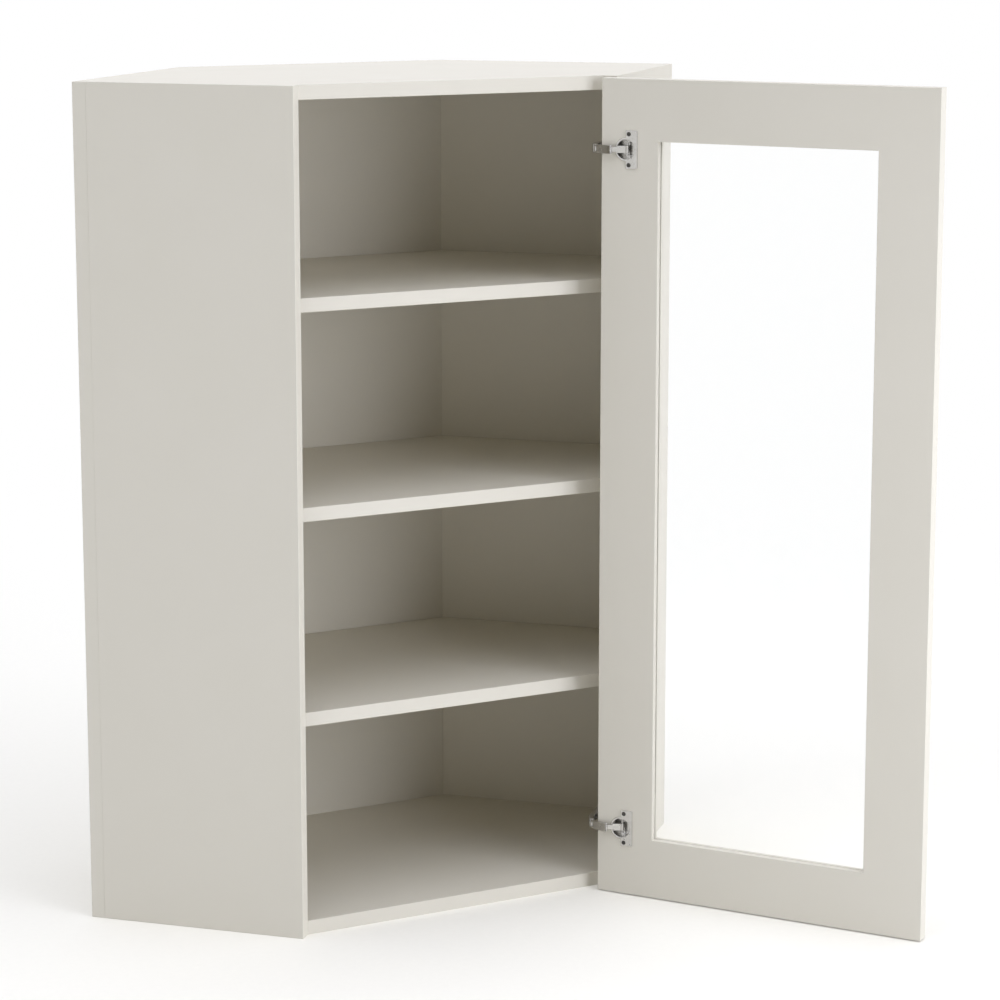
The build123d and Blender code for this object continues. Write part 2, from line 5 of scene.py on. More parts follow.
import bmesh
import bpy
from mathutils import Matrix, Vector
from mathutils.bvhtree import BVHTree


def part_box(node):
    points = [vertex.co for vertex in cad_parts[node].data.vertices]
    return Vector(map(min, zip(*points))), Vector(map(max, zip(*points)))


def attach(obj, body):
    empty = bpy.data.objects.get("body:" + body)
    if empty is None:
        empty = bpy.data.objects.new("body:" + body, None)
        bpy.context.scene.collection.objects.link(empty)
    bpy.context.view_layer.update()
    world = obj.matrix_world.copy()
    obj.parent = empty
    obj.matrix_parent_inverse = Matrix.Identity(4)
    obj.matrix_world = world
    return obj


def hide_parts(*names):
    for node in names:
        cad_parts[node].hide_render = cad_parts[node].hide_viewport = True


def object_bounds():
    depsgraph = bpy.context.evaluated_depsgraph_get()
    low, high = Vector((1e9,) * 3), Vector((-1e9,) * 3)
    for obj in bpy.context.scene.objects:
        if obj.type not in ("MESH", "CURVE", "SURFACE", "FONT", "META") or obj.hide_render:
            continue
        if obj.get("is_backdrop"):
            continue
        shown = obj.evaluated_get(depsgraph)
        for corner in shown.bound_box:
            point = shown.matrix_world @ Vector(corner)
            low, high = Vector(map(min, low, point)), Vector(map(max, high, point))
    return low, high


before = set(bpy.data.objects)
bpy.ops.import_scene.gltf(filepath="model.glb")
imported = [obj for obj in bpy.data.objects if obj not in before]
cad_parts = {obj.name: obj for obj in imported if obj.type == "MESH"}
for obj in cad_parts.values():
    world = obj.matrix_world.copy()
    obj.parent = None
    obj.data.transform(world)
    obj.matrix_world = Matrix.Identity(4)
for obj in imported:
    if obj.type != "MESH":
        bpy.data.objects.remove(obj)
cad_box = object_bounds()

# ------------------------------------------------------------------ carcass boards
# Two end panels, two wall panels, a diagonal back, a top and a bottom: 18 mm sheet board. The
# open arrises are eased with a block and every board is sprayed with satin lacquer. Tongues
# glued into grooves hold them, so no fastener shows, and flush joints are rubbed down level.

MM = 0.001
carcass_boards = (
    "left_end_panel",
    "right_end_panel",
    "left_wall_panel",
    "right_wall_panel",
    "back_panel",
    "bottom_panel",
    "top_panel",
)
same_point = 0.002 * MM         # corners of loose triangles closer than this are one corner
same_plane = radians(0.6)       # triangles that differ by less lie in one flat face
board_ease = 0.7 * MM
easing_steps = 3                # facets across a rounding
touching = 0.2 * MM             # boards closer than this meet
felt_at = (0.1, 0.5, 0.9)       # where along an edge a meeting board is felt for
drilled_facet = 3.0 * MM        # rims of drilled holes have shorter edges than this
arris_angle = radians(35)
plumb = 0.99                    # an upright edge rises by at least this share of its length
hairline = 0.35                 # share of the easing on the upright edges of a glued joint


def joined_flat(shape):
    """Joins the loose triangles of a shape into flat faces."""
    bmesh.ops.remove_doubles(shape, verts=shape.verts, dist=same_point)
    bmesh.ops.dissolve_limit(
        shape, angle_limit=same_plane, verts=shape.verts, edges=shape.edges
    )


def merged_copy(node):
    """The shape of a CAD node in flat faces that point outwards."""
    shape = bmesh.new()
    shape.from_mesh(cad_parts[node].data)
    joined_flat(shape)
    bmesh.ops.recalc_face_normals(shape, faces=shape.faces)
    return shape


def finished_piece(name, shape, material):
    """A new piece in the scene, made of one shape and one material."""
    mesh = bpy.data.meshes.new(name)
    shape.to_mesh(mesh)
    shape.free()
    mesh.materials.append(material)
    piece = bpy.data.objects.new(name, mesh)
    bpy.context.scene.collection.objects.link(piece)
    return piece


def turn_smoothly(mesh):
    """Flat sides stay flat right up to a rounding, which turns from one side into the next."""
    around = [[] for _ in mesh.vertices]
    for side in mesh.polygons:
        side.use_smooth = True
        for corner in side.vertices:
            around[corner].append((side.normal.copy(), side.material_index))
    normals = []
    for side in mesh.polygons:
        for corner in side.vertices:
            level = [
                normal
                for normal, rounding in around[corner]
                if not rounding and normal.dot(side.normal) > cos(arris_angle)
            ]
            turning = level or [normal for normal, rounding in around[corner] if rounding]
            normals.append(sum(turning or [side.normal], Vector()).normalized())
    mesh.normals_split_custom_set(normals)


def eased_piece(name, shape, neighbours, ease, material, shortest=drilled_facet):
    """A piece with eased arrises. Its level joints to neighbours stay tight, and upright
    joints show as a hairline."""
    easing = shape.edges.layers.float.new("bevel_weight_edge")
    for edge in shape.edges:
        if len(edge.link_faces) != 2 or edge.calc_face_angle() < arris_angle:
            continue
        if edge.calc_length() < shortest or not edge.is_convex:
            continue
        start, end = (corner.co for corner in edge.verts)
        spots = [start.lerp(end, share_along) for share_along in felt_at]
        meets = any(
            all(near.find_nearest(spot, touching)[0] is not None for spot in spots)
            for near in neighbours
        )
        upright = abs(end.z - start.z) > plumb * edge.calc_length()
        edge[easing] = (hairline if upright else 0.0) if meets else 1.0
    piece = finished_piece(name, shape, material)
    piece.data.materials.append(material)
    arris = piece.modifiers.new("eased arrises", "BEVEL")
    arris.limit_method = "WEIGHT"
    arris.width = ease
    arris.segments = easing_steps
    arris.use_clamp_overlap = False
    arris.material = 1
    whole = piece.evaluated_get(bpy.context.evaluated_depsgraph_get())
    mesh = bpy.data.meshes.new_from_object(whole)
    piece.modifiers.remove(arris)
    turn_smoothly(mesh)
    for side in mesh.polygons:
        side.material_index = 0
    mesh.materials.pop()
    piece.data = mesh
    return piece


def linear(hex_colour):
    """A colour written as sRGB hex, as the linear numbers that a shader takes."""
    parts = [int(hex_colour[i : i + 2], 16) / 255 for i in (0, 2, 4)]
    return [p / 12.92 if p <= 0.04045 else ((p + 0.055) / 1.055) ** 2.4 for p in parts] + [1.0]


def add_node(tree, kind, inputs, **settings):
    """Adds a node. Each input takes a value, or a link from another node's output."""
    made = tree.nodes.new(kind)
    for name, value in settings.items():
        setattr(made, name, value)
    for name, value in inputs.items():
        if isinstance(value, bpy.types.NodeSocket):
            tree.links.new(value, made.inputs[name])
        else:
            made.inputs[name].default_value = value
    return made


def new_material(name):
    """A material with an empty node tree."""
    made = bpy.data.materials.new(name)
    made.use_nodes = True
    made.node_tree.nodes.clear()
    return made, made.node_tree


# Pigmented satin lacquer, sprayed on sealed sheet board and rubbed down between coats. It
# gives an even warm grey with a soft, slightly broken sheen and no grain.
satin_lacquer, coat = new_material("satin_lacquer_sprayed")
coat_place = add_node(coat, "ShaderNodeTexCoord", {}).outputs["Object"]
# The film is a shade thinner in places about a hand across.
film = add_node(
    coat, "ShaderNodeTexNoise", {"Vector": coat_place, "Scale": 1 / (130 * MM), "Detail": 2.0}
)
film_tone = add_node(
    coat,
    "ShaderNodeMix",
    {0: film.outputs["Fac"], 6: linear("DDD7C8"), 7: linear("DAD4C4")},
    data_type="RGBA",
)
# Rubbing down leaves the sheen a little uneven over a few centimetres.
rubbing = add_node(
    coat, "ShaderNodeTexNoise", {"Vector": coat_place, "Scale": 1 / (30 * MM), "Detail": 3.0}
)
sheen = add_node(
    coat,
    "ShaderNodeMapRange",
    {"Value": rubbing.outputs["Fac"], "To Min": 0.50, "To Max": 0.62},
)
# Orange peel of a sprayed coat: ripples 2 mm apart and a few hundredths of a millimetre high.
peel = add_node(
    coat, "ShaderNodeTexNoise", {"Vector": coat_place, "Scale": 1 / (2 * MM), "Detail": 1.0}
)
ripple = add_node(
    coat,
    "ShaderNodeBump",
    {"Height": peel.outputs["Fac"], "Strength": 0.25, "Distance": 0.04 * MM},
)
coat_surface = add_node(
    coat,
    "ShaderNodeBsdfPrincipled",
    {
        "Base Color": film_tone.outputs[2],
        "Roughness": sheen.outputs["Result"],
        "IOR": 1.5,
        "Normal": ripple.outputs["Normal"],
    },
)
add_node(coat, "ShaderNodeOutputMaterial", {"Surface": coat_surface.outputs["BSDF"]})

surfaces = {}
for board in carcass_boards:
    shape = merged_copy(board)
    surfaces[board] = BVHTree.FromBMesh(shape)
    shape.free()
for board in carcass_boards:
    others = [surfaces[other] for other in carcass_boards if other != board]
    dressed = eased_piece(
        f"{board}_lacquered", merged_copy(board), others, board_ease, satin_lacquer
    )
    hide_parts(board)
    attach(dressed, "cabinet")

# ------------------------------------------------------------------ shelves
# Three loose shelves of the same 18 mm board, cut to the plan of the inside with a millimetre to
# spare at each wall. Their edges are eased and they get the same lacquer.

shelves = ("lower_shelf", "middle_shelf", "upper_shelf")
shelf_ease = 0.8 * MM
for shelf in shelves:
    dressed = eased_piece(
        f"{shelf}_lacquered", merged_copy(shelf), (), shelf_ease, satin_lacquer
    )
    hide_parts(shelf)
    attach(dressed, "cabinet")

# ------------------------------------------------------------------ door frame
# Two stiles and two rails of 18 mm hardwood, joined by stub tenons and lacquered as one frame,
# so the shoulders of the joints don't show. A groove round the inside holds the glass.

door_boards = ("hinge_stile", "free_stile", "bottom_rail", "top_rail")
door_ease = 0.8 * MM


def glued_up(nodes):
    """The shape that some glued boards make together."""
    boards = [
        finished_piece(f"{node}_board", merged_copy(node), satin_lacquer) for node in nodes
    ]
    for board in boards[1:]:
        joint = boards[0].modifiers.new("glue joint", "BOOLEAN")
        joint.operation = "UNION"
        joint.solver = "EXACT"
        joint.object = board
    whole = boards[0].evaluated_get(bpy.context.evaluated_depsgraph_get())
    shape = bmesh.new()
    shape.from_mesh(whole.to_mesh())
    whole.to_mesh_clear()
    for board in boards:
        bpy.data.objects.remove(board)
    joined_flat(shape)
    return shape


door_frame = eased_piece(
    "door_frame_lacquered", glued_up(door_boards), (), door_ease, satin_lacquer
)
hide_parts(*door_boards)
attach(door_frame, "door")

# ------------------------------------------------------------------ glass pane
# One pane of 4 mm clear float glass, cut to size, its edges hidden in the groove of the frame.
# The CAD node is right as it is and only takes the glass.

float_glass, pane = new_material("clear_float_glass")
pane_place = add_node(pane, "ShaderNodeTexCoord", {}).outputs["Object"]
# The long ribbon of float glass keeps waves a few centimetres long and microns high.
glass_waves = add_node(
    pane, "ShaderNodeTexNoise", {"Vector": pane_place, "Scale": 1 / (60 * MM), "Detail": 0.0}
)
wave_relief = add_node(
    pane,
    "ShaderNodeBump",
    {"Height": glass_waves.outputs["Fac"], "Strength": 0.1, "Distance": 0.1 * MM},
)
# Wiping leaves a film that dulls the gloss a little in smears about a finger wide.
wiping = add_node(
    pane, "ShaderNodeTexNoise", {"Vector": pane_place, "Scale": 1 / (18 * MM), "Detail": 2.0}
)
wiped = add_node(
    pane,
    "ShaderNodeMapRange",
    {"Value": wiping.outputs["Fac"], "To Min": 0.0, "To Max": 0.012},
)
# The iron in the glass gives it a trace of blue-green.
glass_tint = add_node(
    pane,
    "ShaderNodeMix",
    {0: wiping.outputs["Fac"], 6: linear("FFFFFF"), 7: linear("FDFEFE")},
    data_type="RGBA",
)
glass_surface = add_node(
    pane,
    "ShaderNodeBsdfPrincipled",
    {
        "Base Color": glass_tint.outputs[2],
        "Roughness": wiped.outputs["Result"],
        "IOR": 1.52,
        "Transmission Weight": 1.0,
        "Normal": wave_relief.outputs["Normal"],
    },
)
light_through = add_node(pane, "ShaderNodeBsdfTransparent", {})
ray = add_node(pane, "ShaderNodeLightPath", {})
glass_or_light = add_node(
    pane,
    "ShaderNodeMixShader",
    {
        0: ray.outputs["Is Shadow Ray"],
        1: glass_surface.outputs["BSDF"],
        2: light_through.outputs["BSDF"],
    },
)
add_node(pane, "ShaderNodeOutputMaterial", {"Surface": glass_or_light.outputs["Shader"]})
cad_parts["glass_pane"].data.materials.clear()
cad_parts["glass_pane"].data.materials.append(float_glass)

# ------------------------------------------------------------------ hinge pressings
# Each hinge has a cup and flange let into the stile, two levers, a channel arm and a mounting
# plate. All are pressed from steel strip, tumbled to take the burrs off their edges, and nickel
# plated before they are riveted together.

hinges = ("upper", "lower")
pressing_bodies = {
    "hinge_cup": "door",
    "outer_lever": "{}_outer_lever",
    "inner_lever": "{}_inner_lever",
    "hinge_arm": "cabinet",
    "mounting_plate": "cabinet",
}
tumbled_edge = 0.22 * MM

# Bright nickel plate over pressed steel: warm silver, with the fine drawing lines of the strip
# still under it and a duller bloom in patches where it was handled.
nickel_plate, plating = new_material("nickel_plated_steel")
plating_place = add_node(plating, "ShaderNodeTexCoord", {}).outputs["Object"]
# The drawing lines are a tenth of a millimetre apart, drawn here at half a millimetre to show.
strip_grain = add_node(
    plating, "ShaderNodeMapping", {"Vector": plating_place, "Scale": (1.0, 1.0, 0.12)}
)
drawing_lines = add_node(
    plating,
    "ShaderNodeTexNoise",
    {"Vector": strip_grain.outputs["Vector"], "Scale": 1 / (0.5 * MM), "Detail": 2.0},
)
line_relief = add_node(
    plating,
    "ShaderNodeBump",
    {"Height": drawing_lines.outputs["Fac"], "Strength": 0.15, "Distance": 0.01 * MM},
)
handling = add_node(
    plating, "ShaderNodeTexNoise", {"Vector": plating_place, "Scale": 1 / (6 * MM), "Detail": 3.0}
)
plate_gloss = add_node(
    plating,
    "ShaderNodeMapRange",
    {"Value": handling.outputs["Fac"], "To Min": 0.16, "To Max": 0.34},
)
plate_tone = add_node(
    plating,
    "ShaderNodeMix",
    {0: handling.outputs["Fac"], 6: linear("CFCDC9"), 7: linear("B7B5B1")},
    data_type="RGBA",
)
plate_surface = add_node(
    plating,
    "ShaderNodeBsdfPrincipled",
    {
        "Base Color": plate_tone.outputs[2],
        "Metallic": 1.0,
        "Roughness": plate_gloss.outputs["Result"],
        "Normal": line_relief.outputs["Normal"],
    },
)
add_node(plating, "ShaderNodeOutputMaterial", {"Surface": plate_surface.outputs["BSDF"]})

for hinge in hinges:
    for pressing, body in pressing_bodies.items():
        node = f"{hinge}_{pressing}"
        dressed = eased_piece(
            f"{node}_plated", merged_copy(node), (), tumbled_edge, nickel_plate, 0.0
        )
        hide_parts(node)
        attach(dressed, body.format(hinge))

# ------------------------------------------------------------------ closing springs
# A wire spring sits on each cup pin and snaps the door shut. It is one length of 1 mm spring
# wire, coiled beside the lever on both sides and bent to a U that bears on the cup's far wall.

door_turn = radians(55)         # of the open door, off the line of the cabinet's front
door_along = Vector((cos(door_turn), -sin(door_turn), 0.0))
out_of_door = Vector((-sin(door_turn), -cos(door_turn), 0.0))
wire = 1.0 * MM
coil_radius = 1.7 * MM
coil_turns = 2.25
points_per_turn = 8
coil_near = 5.9 * MM            # from the middle of the hinge to the inner end of a coil
coil_pitch = 1.1 * MM
bow_along = 9.2 * MM            # from the cup pin to the cup's far wall
bow_down = 3.6 * MM             # and into the cup
bow_half = 7.6 * MM             # half the height of the bow
bow_bends = (1, 0.35, -0.35, -1)


def pin_middle(node):
    """The middle of an upright hinge pin."""
    low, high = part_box(node)
    return (low + high) / 2


def coil_side(centre, side):
    """Route of one half of the spring, from the inner end of its coil to the bow."""
    route = []
    for step in range(int(coil_turns * points_per_turn) + 1):
        turn = 2 * pi * step / points_per_turn - pi / 2
        rise = coil_near + coil_pitch * step / points_per_turn
        route.append(
            centre
            + coil_radius * (cos(turn) * out_of_door + sin(turn) * door_along)
            + Vector((0, 0, side * rise))
        )
    return route


def bent_spring(hinge):
    """The whole wire of one spring."""
    centre = pin_middle(f"{hinge}_cup_pin")
    upper = coil_side(centre, 1)
    lower = coil_side(centre, -1)
    bow = [
        centre + bow_along * door_along - bow_down * out_of_door + Vector((0, 0, side * bow_half))
        for side in bow_bends
    ]
    route = upper + bow + lower[::-1]
    line = bpy.data.curves.new(f"{hinge}_spring_wire", "CURVE")
    line.dimensions = "3D"
    line.bevel_depth = wire / 2
    line.bevel_resolution = 3
    line.use_fill_caps = True
    line.resolution_u = 6
    spline = line.splines.new("NURBS")
    spline.points.add(len(route) - 1)
    for point, place in zip(spline.points, route):
        point.co = (*place, 1.0)
    spline.order_u = 3
    spline.use_endpoint_u = True
    drawn = bpy.data.objects.new(f"{hinge}_spring_line", line)
    bpy.context.scene.collection.objects.link(drawn)
    mesh = bpy.data.meshes.new_from_object(drawn)
    bpy.data.objects.remove(drawn)
    for face in mesh.polygons:
        face.use_smooth = True
    mesh.materials.clear()
    mesh.materials.append(nickel_plate)
    piece = bpy.data.objects.new(f"{hinge}_closing_spring", mesh)
    bpy.context.scene.collection.objects.link(piece)
    return piece


for hinge in hinges:
    spring = bent_spring(hinge)
    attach(spring, "door")

# ------------------------------------------------------------------ hinge pins
# Plain steel pins, 2 mm thick, run through the eyes of the levers. Their ends are peened over
# the cheeks into low domes. The cup pin has its ends in the wall of the cup, without heads.

head_radius = 1.7 * MM
head_rise = 0.5 * MM
dome_facet = radians(60)        # facets of a dome turn by less than this
ground_edge = 0.15 * MM


def marked_places(name, places):
    """Loose points, each with the direction that its fitting faces."""
    mesh = bpy.data.meshes.new(name)
    mesh.from_pydata([place for place, _ in places], [], [])
    facing = mesh.attributes.new("facing", "FLOAT_VECTOR", "POINT")
    for i, (_, direction) in enumerate(places):
        facing.data[i].vector = direction
    piece = bpy.data.objects.new(name, mesh)
    bpy.context.scene.collection.objects.link(piece)
    return piece


def new_fitting_tree(name, sizes):
    """A tree of geometry nodes with named sizes, and its input and output nodes."""
    tree = bpy.data.node_groups.new(name, "GeometryNodeTree")
    tree.interface.new_socket("Places", in_out="INPUT", socket_type="NodeSocketGeometry")
    for size in sizes:
        tree.interface.new_socket(size, in_out="INPUT", socket_type="NodeSocketFloat")
    tree.interface.new_socket("Finish", in_out="INPUT", socket_type="NodeSocketMaterial")
    tree.interface.new_socket("Fittings", in_out="OUTPUT", socket_type="NodeSocketGeometry")
    entry = add_node(tree, "NodeGroupInput", {})
    return tree, entry.outputs


def set_out_and_finish(tree, given, fitting):
    """Puts one fitting at each place, turned the way it faces, as plain finished mesh."""
    facing = add_node(
        tree, "GeometryNodeInputNamedAttribute", {"Name": "facing"}, data_type="FLOAT_VECTOR"
    )
    turned = add_node(
        tree,
        "FunctionNodeAlignRotationToVector",
        {"Vector": facing.outputs["Attribute"]},
        axis="Z",
    )
    placed = add_node(
        tree,
        "GeometryNodeInstanceOnPoints",
        {"Points": given["Places"], "Instance": fitting, "Rotation": turned.outputs["Rotation"]},
    )
    real = add_node(
        tree, "GeometryNodeRealizeInstances", {"Geometry": placed.outputs["Instances"]}
    )
    finished = add_node(
        tree,
        "GeometryNodeSetMaterial",
        {"Geometry": real.outputs["Geometry"], "Material": given["Finish"]},
    )
    add_node(tree, "NodeGroupOutput", {"Fittings": finished.outputs["Geometry"]})


def made_fittings(name, places, tree, values, smooth_below):
    """Runs a fitting tree on some places and keeps the plain mesh that it makes."""
    points = marked_places(f"{name}_places", places)
    run = points.modifiers.new("fittings", "NODES")
    run.node_group = tree
    for socket in tree.interface.items_tree:
        if socket.in_out == "INPUT" and socket.name in values:
            run[socket.identifier] = values[socket.name]
    made = points.evaluated_get(bpy.context.evaluated_depsgraph_get())
    mesh = bpy.data.meshes.new_from_object(made)
    points.modifiers.remove(run)
    bpy.data.objects.remove(points)
    shape = bmesh.new()
    shape.from_mesh(mesh)
    for edge in shape.edges:
        edge.smooth = len(edge.link_faces) == 2 and edge.calc_face_angle() < smooth_below
    for face in shape.faces:
        face.smooth = True
    shape.to_mesh(mesh)
    shape.free()
    mesh.name = name
    piece = bpy.data.objects.new(name, mesh)
    bpy.context.scene.collection.objects.link(piece)
    return piece


peened_head, given = new_fitting_tree("peened_pin_head", ("Head Radius", "Head Rise"))
ball = add_node(
    peened_head,
    "GeometryNodeMeshUVSphere",
    {"Segments": 20, "Rings": 10, "Radius": given["Head Radius"]},
)
low = add_node(
    peened_head,
    "ShaderNodeMath",
    {0: given["Head Rise"], 1: given["Head Radius"]},
    operation="DIVIDE",
)
flattening = add_node(
    peened_head, "ShaderNodeCombineXYZ", {"X": 1.0, "Y": 1.0, "Z": low.outputs[0]}
)
dome = add_node(
    peened_head,
    "GeometryNodeTransform",
    {"Geometry": ball.outputs["Mesh"], "Scale": flattening.outputs["Vector"]},
)
set_out_and_finish(peened_head, given, dome.outputs["Geometry"])

for hinge in hinges:
    head_places = []
    for pin in ("arm_pin", "knuckle_pin"):
        low_end, high_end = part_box(f"{hinge}_{pin}")
        middle = (low_end + high_end) / 2
        head_places.append(((middle.x, middle.y, high_end.z), (0, 0, 1)))
        head_places.append(((middle.x, middle.y, low_end.z), (0, 0, -1)))
    heads = made_fittings(
        f"{hinge}_pin_heads",
        head_places,
        peened_head,
        {"Head Radius": head_radius, "Head Rise": head_rise, "Finish": nickel_plate},
        dome_facet,
    )
    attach(heads, f"{hinge}_inner_lever")
    for pin, body in (
        ("arm_pin", f"{hinge}_inner_lever"),
        ("knuckle_pin", f"{hinge}_inner_lever"),
        ("cup_pin", "door"),
    ):
        node = f"{hinge}_{pin}"
        dressed = eased_piece(
            f"{node}_ground", merged_copy(node), (), ground_edge, nickel_plate, 0.0
        )
        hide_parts(node)
        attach(dressed, body)

# ------------------------------------------------------------------ screws
# Countersunk wood screws hold the cups and the mounting plates, and two short machine screws
# clamp and set each arm. All are cold-headed steel with a cross recess, zinc plated.

# The inner face of the right end panel looks this way.
off_end_panel = Vector((-sin(pi / 4), cos(pi / 4), 0.0))
wood_head = 5.6 * MM
wood_head_depth = 1.4 * MM
wood_shank = 2.8 * MM
wood_length = 13.0 * MM
wood_recess = 3.0 * MM          # across the cross recess
machine_head = 6.4 * MM
machine_head_depth = 2.0 * MM
machine_shank = 4.0 * MM
machine_length = 4.0 * MM       # under the head
machine_recess = 3.6 * MM
blade_share = 0.24              # width of a blade of the recess, as a share of its reach
bit_share = 0.7                 # depth of the slots that cut it, half of it above the head
rim_height = 0.05 * MM          # points this near to the top of a CAD screw are its rim
screw_facet = radians(35)


def plated_screw_steel(name, light, dark):
    """Zinc-plated steel, faintly clouded by its passivation and duller than nickel."""
    plate, passivated = new_material(name)
    place = add_node(passivated, "ShaderNodeTexCoord", {}).outputs["Object"]
    clouds = add_node(
        passivated, "ShaderNodeTexNoise", {"Vector": place, "Scale": 1 / (1.5 * MM), "Detail": 3.0}
    )
    tone = add_node(
        passivated,
        "ShaderNodeMix",
        {0: clouds.outputs["Fac"], 6: linear(light), 7: linear(dark)},
        data_type="RGBA",
    )
    gloss = add_node(
        passivated,
        "ShaderNodeMapRange",
        {"Value": clouds.outputs["Fac"], "To Min": 0.26, "To Max": 0.42},
    )
    grit = add_node(
        passivated,
        "ShaderNodeBump",
        {"Height": clouds.outputs["Fac"], "Strength": 0.2, "Distance": 0.01 * MM},
    )
    surface = add_node(
        passivated,
        "ShaderNodeBsdfPrincipled",
        {
            "Base Color": tone.outputs[2],
            "Metallic": 1.0,
            "Roughness": gloss.outputs["Result"],
            "Normal": grit.outputs["Normal"],
        },
    )
    add_node(passivated, "ShaderNodeOutputMaterial", {"Surface": surface.outputs["BSDF"]})
    return plate


# Clear passivation leaves the zinc bluish silver. The screws that show in the cup's flange are
# coloured dark grey instead. This is painted shade, which stands in for the shade in their holes.
clear_zinc = plated_screw_steel("zinc_plated_steel_clear", "C9CDD3", "B4B6B6")
painted_shade_zinc = plated_screw_steel("zinc_plated_steel_painted_shade", "5E5C58", "454442")

cross_screw, given = new_fitting_tree(
    "cross_recess_screw",
    ("Head Radius", "Neck Radius", "Head Depth", "Shank Radius", "Length", "Recess"),
)
head = add_node(
    cross_screw,
    "GeometryNodeMeshCone",
    {
        "Vertices": 32,
        "Radius Top": given["Head Radius"],
        "Radius Bottom": given["Neck Radius"],
        "Depth": given["Head Depth"],
    },
)
head_drop = add_node(
    cross_screw, "ShaderNodeMath", {0: given["Head Depth"], 1: -1.0}, operation="MULTIPLY"
)
head_offset = add_node(cross_screw, "ShaderNodeCombineXYZ", {"Z": head_drop.outputs[0]})
sunk_head = add_node(
    cross_screw,
    "GeometryNodeTransform",
    {"Geometry": head.outputs["Mesh"], "Translation": head_offset.outputs["Vector"]},
)
recess_width = add_node(
    cross_screw, "ShaderNodeMath", {0: given["Recess"], 1: blade_share}, operation="MULTIPLY"
)
recess_depth = add_node(
    cross_screw, "ShaderNodeMath", {0: given["Recess"], 1: bit_share}, operation="MULTIPLY"
)
slot_sizes = [
    add_node(
        cross_screw,
        "ShaderNodeCombineXYZ",
        {"X": across, "Y": along, "Z": recess_depth.outputs[0]},
    )
    for across, along in (
        (given["Recess"], recess_width.outputs[0]),
        (recess_width.outputs[0], given["Recess"]),
    )
]
slots = [
    add_node(cross_screw, "GeometryNodeMeshCube", {"Size": size.outputs["Vector"]}).outputs["Mesh"]
    for size in slot_sizes
]
cut_once = add_node(
    cross_screw,
    "GeometryNodeMeshBoolean",
    {"Mesh 1": sunk_head.outputs["Geometry"], "Mesh 2": slots[0]},
    operation="DIFFERENCE",
    solver="EXACT",
)
cut_cross = add_node(
    cross_screw,
    "GeometryNodeMeshBoolean",
    {"Mesh 1": cut_once.outputs["Mesh"], "Mesh 2": slots[1]},
    operation="DIFFERENCE",
    solver="EXACT",
)
shank = add_node(
    cross_screw,
    "GeometryNodeMeshCone",
    {
        "Vertices": 20,
        "Radius Top": given["Shank Radius"],
        "Radius Bottom": 0.0,
        "Depth": given["Length"],
    },
)
shank_drop = add_node(
    cross_screw, "ShaderNodeMath", {0: given["Length"], 1: given["Head Depth"]}, operation="ADD"
)
shank_down = add_node(
    cross_screw, "ShaderNodeMath", {0: shank_drop.outputs[0], 1: -1.0}, operation="MULTIPLY"
)
shank_offset = add_node(cross_screw, "ShaderNodeCombineXYZ", {"Z": shank_down.outputs[0]})
set_shank = add_node(
    cross_screw,
    "GeometryNodeTransform",
    {"Geometry": shank.outputs["Mesh"], "Translation": shank_offset.outputs["Vector"]},
)
whole_screw = add_node(
    cross_screw,
    "GeometryNodeJoinGeometry",
    {"Geometry": cut_cross.outputs["Mesh"]},
)
cross_screw.links.new(set_shank.outputs["Geometry"], whole_screw.inputs["Geometry"])
set_out_and_finish(cross_screw, given, whole_screw.outputs["Geometry"])


def solids_of(node):
    """The corner points of each separate solid in a CAD node."""
    shape = merged_copy(node)
    seen = set()
    found = []
    for first in shape.verts:
        reached = [first]
        solid = []
        while reached:
            vertex = reached.pop()
            if vertex in seen:
                continue
            seen.add(vertex)
            solid.append(vertex.co.copy())
            reached.extend(edge.other_vert(vertex) for edge in vertex.link_edges)
        if solid:
            found.append(solid)
    shape.free()
    return found


def screw_heads(node, out):
    """The middle of each screw's head in a CAD node, and the way that it faces."""
    places = []
    for solid in solids_of(node):
        top = max(point.dot(out) for point in solid)
        rim = [point for point in solid if point.dot(out) > top - rim_height]
        places.append((sum(rim, Vector()) / len(rim), out))
    return places


wood_sizes = {
    "Head Radius": wood_head / 2,
    "Neck Radius": wood_shank / 2,
    "Head Depth": wood_head_depth,
    "Shank Radius": wood_shank / 2,
    "Length": wood_length - wood_head_depth,
    "Recess": wood_recess,
    "Finish": clear_zinc,
}
# The flange screws take the dark grey zinc, which is painted shade.
flange_sizes = {**wood_sizes, "Finish": painted_shade_zinc}
machine_sizes = {
    "Head Radius": machine_head / 2,
    "Neck Radius": machine_head / 2,
    "Head Depth": machine_head_depth,
    "Shank Radius": machine_shank / 2,
    "Length": machine_length,
    "Recess": machine_recess,
    "Finish": clear_zinc,
}
for kind, out, sizes, body in (
    ("cup_screws", out_of_door, flange_sizes, "door"),
    ("plate_screws", off_end_panel, wood_sizes, "cabinet"),
    ("arm_screws", off_end_panel, machine_sizes, "cabinet"),
):
    nodes = [f"{hinge}_{kind}" for hinge in hinges]
    spots = [place for node in nodes for place in screw_heads(node, out)]
    driven = made_fittings(f"{kind}_driven", spots, cross_screw, sizes, screw_facet)
    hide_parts(*nodes)
    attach(driven, body)

# ------------------------------------------------------------------ shelf pins
# Fifteen turned steel pins, 5 mm thick, pushed into blind holes in the end, wall and back panels.
# Each shelf lies on five of them. Their ends are rounded, and they are plated like the hinges.

